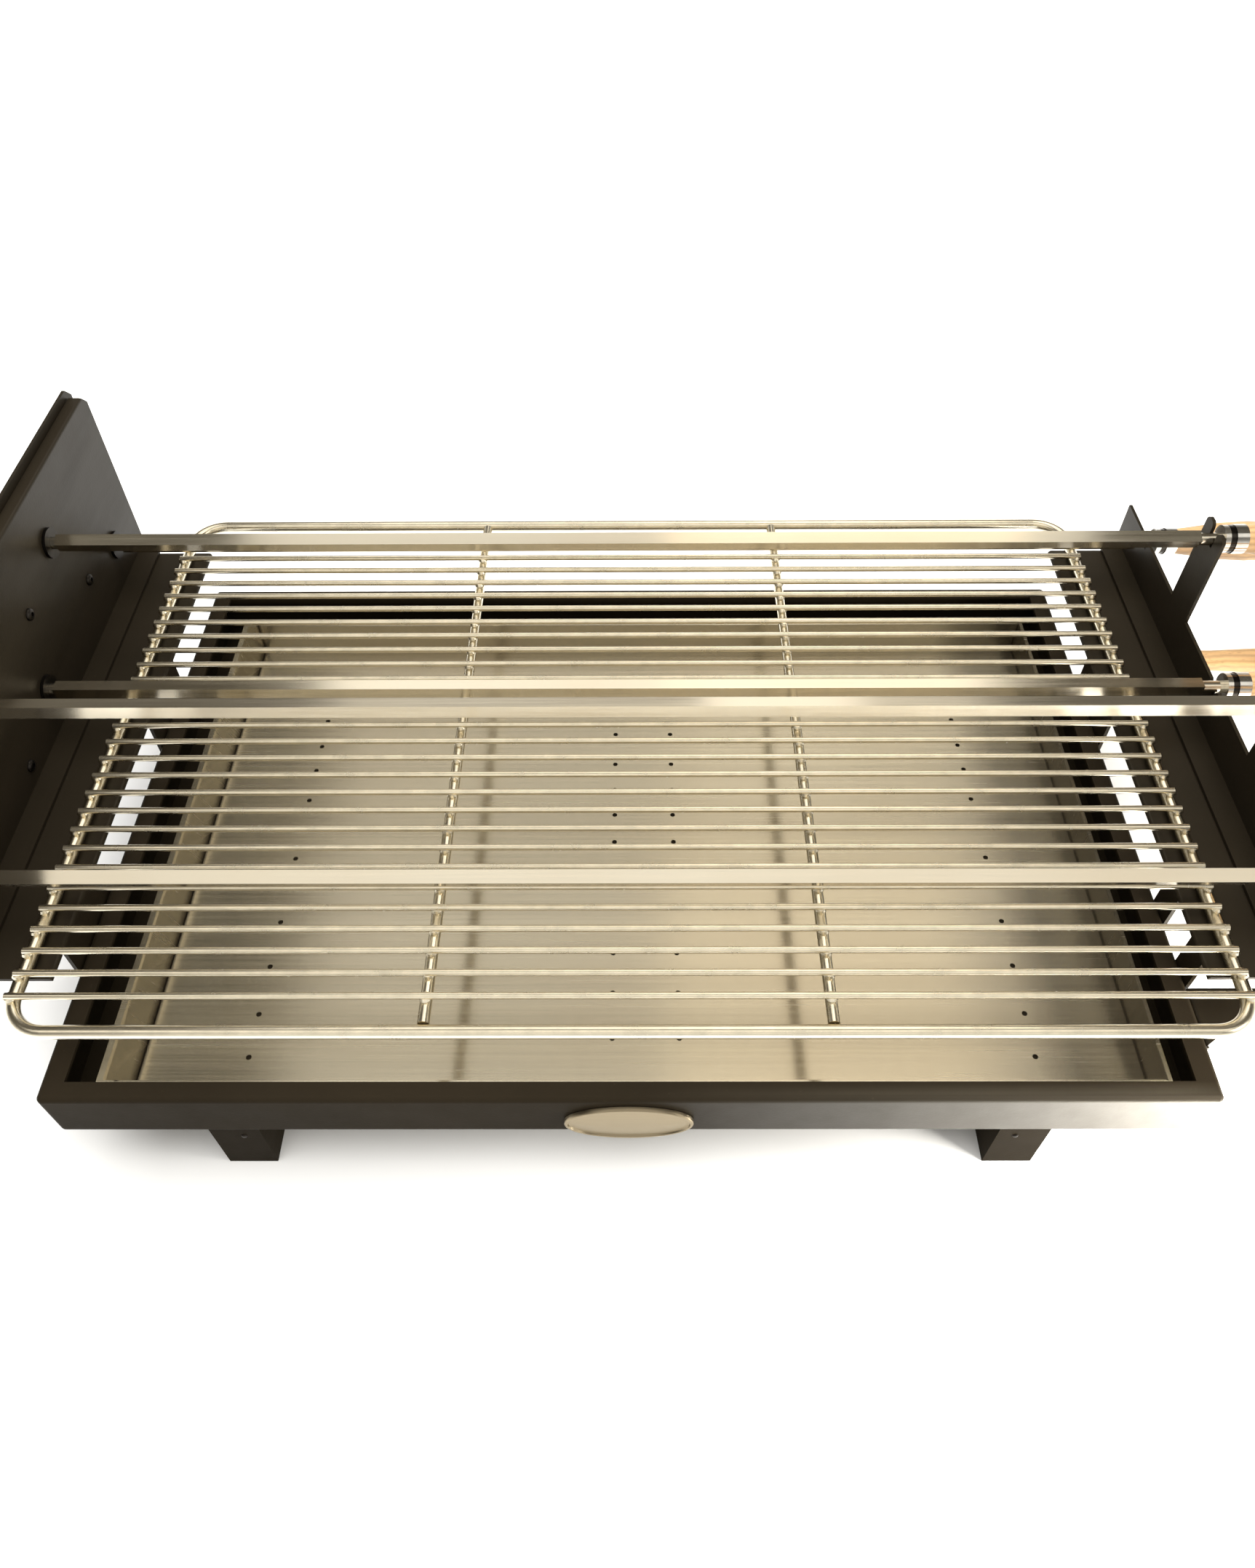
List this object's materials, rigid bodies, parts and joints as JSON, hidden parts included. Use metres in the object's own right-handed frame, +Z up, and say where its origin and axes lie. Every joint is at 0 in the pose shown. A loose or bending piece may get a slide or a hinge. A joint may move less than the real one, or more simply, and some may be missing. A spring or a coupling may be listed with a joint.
{
  "type": "spit grill",
  "caption": "Table-top charcoal grill: sheet firebox on feet, lift-out pan, wire grate on side rails, and square spits with wooden handles in a notched plate and a tall tower.",
  "frame": {"origin": "on the ground under the middle of the whole grill", "axes": "+Z up, -Y to the front where the oval plate is, +X towards the wooden handles"},
  "size_m": [0.8206, 0.4238, 0.223],
  "materials": {
    "black_paint": "semi-gloss heat-proof paint",
    "stainless": "brushed",
    "grate_chrome": "plated wire",
    "spit_steel": "drawn bar",
    "ferrule_steel": "polished",
    "dark_collar": "blackened",
    "bushing_steel": "dark",
    "turned_wood": "oiled",
    "badge_metal": "satin, bare"
  },
  "bodies": {
    "root": {"firebox": "black_paint", "foot_front_left": "black_paint", "foot_front_right": "black_paint", "foot_back_left": "black_paint", "foot_back_right": "black_paint", "badge": "badge_metal", "rail_left": "black_paint", "rail_right": "black_paint", "corner_bracket": "black_paint", "tower_plate": "black_paint", "tower_cover": "black_paint", "spit_rest": "black_paint", "bushings": "bushing_steel", "side_grip": "turned_wood"},
    "pan": {"pan": "stainless"},
    "grate": {"grate_frame": "grate_chrome", "grate_cross_bars": "grate_chrome", "grate_wires": "grate_chrome"},
    "spit_1": {"spit_1_bar": "spit_steel", "spit_1_collar": "dark_collar", "spit_1_ferrule": "ferrule_steel", "spit_1_handle": "turned_wood"},
    "spit_2": {"spit_2_bar": "spit_steel", "spit_2_collar": "dark_collar", "spit_2_ferrule": "ferrule_steel", "spit_2_handle": "turned_wood"},
    "spit_3": {"spit_3_bar": "spit_steel", "spit_3_collar": "dark_collar", "spit_3_ferrule": "ferrule_steel", "spit_3_handle": "turned_wood"},
    "spit_4": {"spit_4_bar": "spit_steel", "spit_4_collar": "dark_collar", "spit_4_ferrule": "ferrule_steel", "spit_4_handle": "turned_wood"},
    "spit_5": {"spit_5_bar": "spit_steel", "spit_5_collar": "dark_collar", "spit_5_ferrule": "ferrule_steel", "spit_5_handle": "turned_wood"}
  },
  "joints": [
    {"name": "pan_lift", "type": "slide", "parent": "root", "child": "pan", "axis": [0, 0, 1], "range_m": [0, 0.03]},
    {"name": "grate_slide", "type": "slide", "parent": "root", "child": "grate", "axis": [0, -1, 0], "range_m": [0, 0.12]},
    {"name": "spit_1_turn", "type": "hinge", "parent": "root", "child": "spit_1", "pos_m": [-0.0603, 0.1579, 0.13], "axis": [1, 0, 0], "continuous": true},
    {"name": "spit_2_turn", "type": "hinge", "parent": "root", "child": "spit_2", "pos_m": [-0.0603, 0.0904, 0.184], "axis": [1, 0, 0], "continuous": true},
    {"name": "spit_3_turn", "type": "hinge", "parent": "root", "child": "spit_3", "pos_m": [-0.0603, 0.0229, 0.13], "axis": [1, 0, 0], "continuous": true},
    {"name": "spit_4_turn", "type": "hinge", "parent": "root", "child": "spit_4", "pos_m": [-0.0603, -0.0446, 0.184], "axis": [1, 0, 0], "continuous": true},
    {"name": "spit_5_turn", "type": "hinge", "parent": "root", "child": "spit_5", "pos_m": [-0.0603, -0.1121, 0.13], "axis": [1, 0, 0], "continuous": true}
  ]
}
